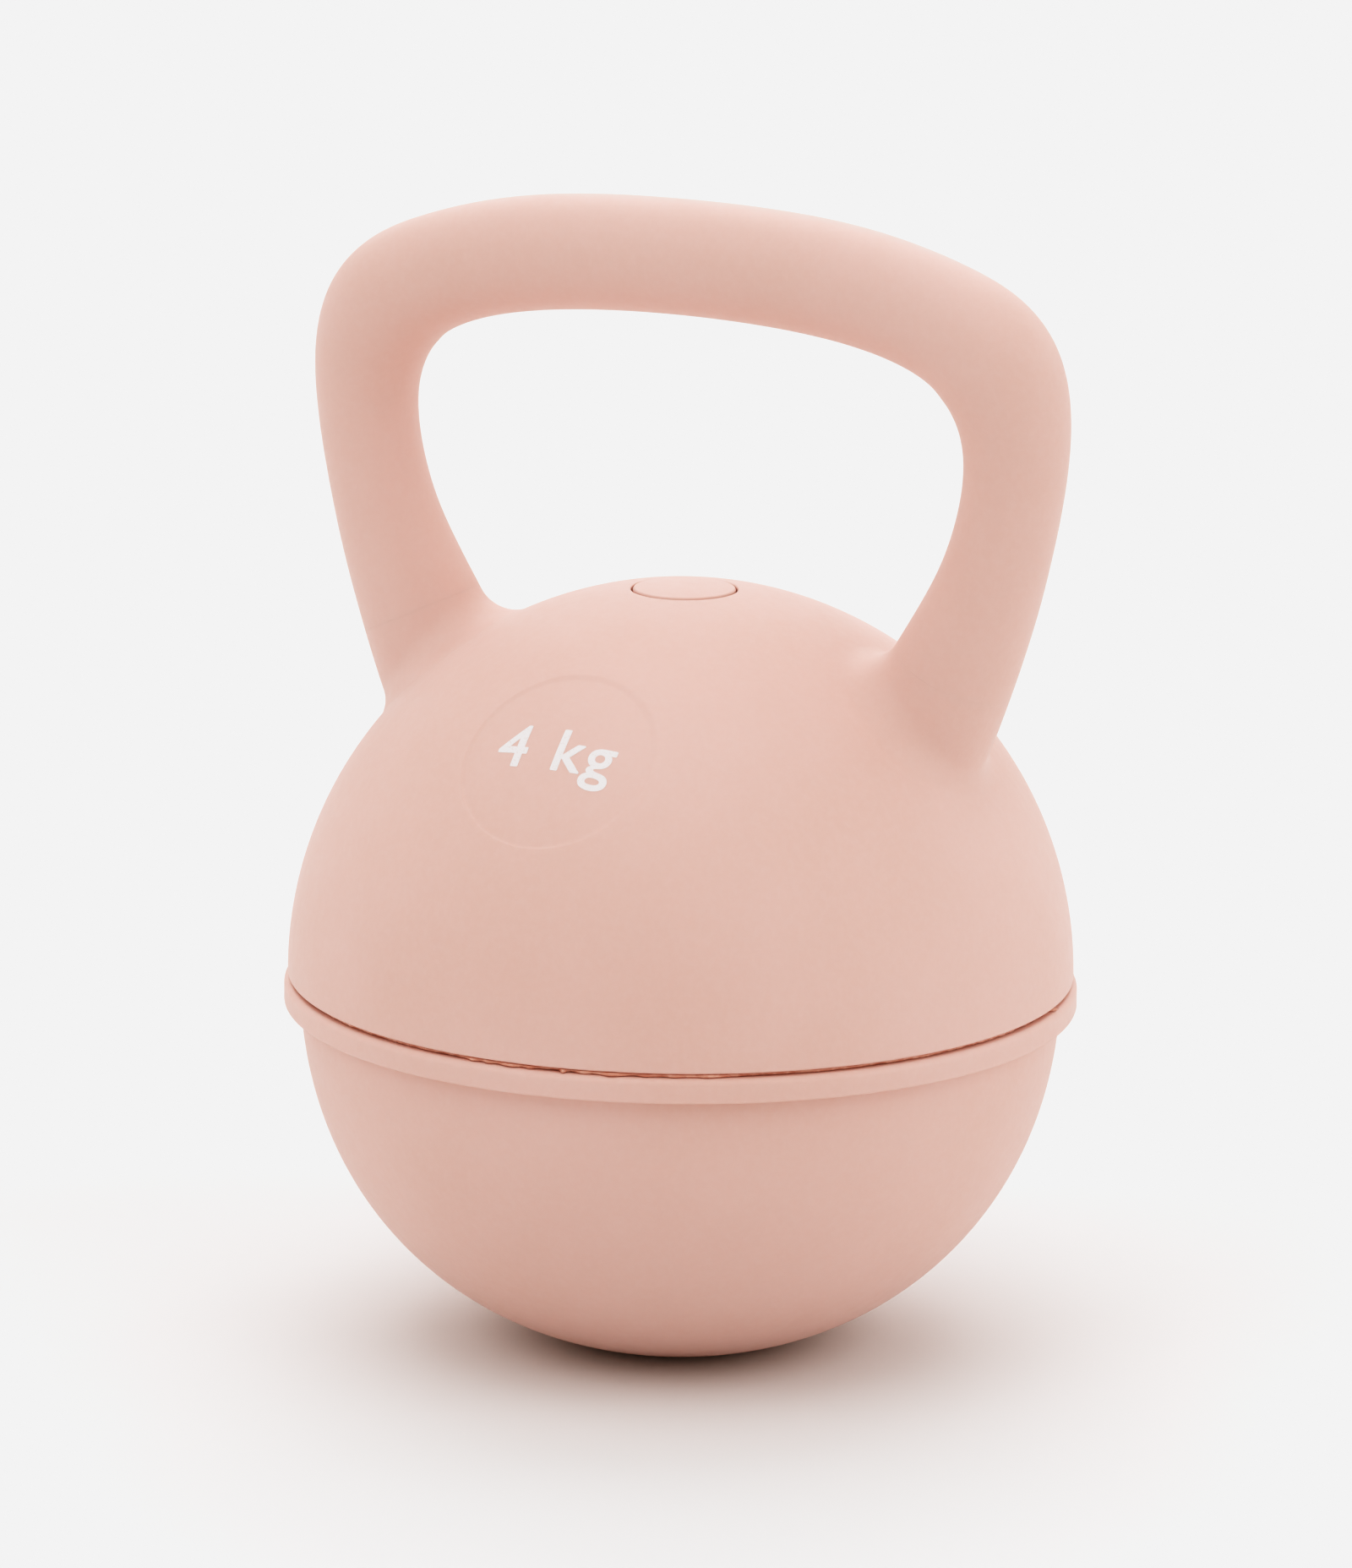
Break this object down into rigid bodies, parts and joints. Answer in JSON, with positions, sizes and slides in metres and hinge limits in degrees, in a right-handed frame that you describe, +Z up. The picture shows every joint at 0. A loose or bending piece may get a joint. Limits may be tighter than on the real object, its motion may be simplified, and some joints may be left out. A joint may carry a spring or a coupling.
{
  "type": "soft kettlebell",
  "caption": "Soft-shelled kettlebell: a PVC dome with a PVC-skinned handle on a steel core, glued to a PVC bowl, part-filled with iron-sand and closed by a filler plug.",
  "frame": {"origin": "centre of the flat base, on the surface the kettlebell stands on", "axes": "+Z up, +X along the handle's width, -Y towards the face with the weight mark"},
  "size_m": [0.1764, 0.1708, 0.2481],
  "materials": {
    "pink_pvc": "matte",
    "seam_glue": "gloss",
    "core_steel": "satin",
    "stopper_plastic": "matte",
    "iron_sand": "matte",
    "mark_ink": "matte"
  },
  "bodies": {
    "kettlebell": {"upper_shell": "pink_pvc", "handle_skin": "pink_pvc", "lower_shell": "pink_pvc", "seam_adhesive": "seam_glue", "handle_core": "core_steel", "core_washer_left": "core_steel", "core_washer_right": "core_steel", "core_plug_left": "stopper_plastic", "core_plug_right": "stopper_plastic", "iron_fill": "iron_sand"},
    "plug": {"filler_plug": "pink_pvc"}
  },
  "joints": [
    {"name": "plug_pull", "type": "slide", "parent": "kettlebell", "child": "plug", "axis": [0, 0, 1], "range_m": [0, 0.016]}
  ]
}
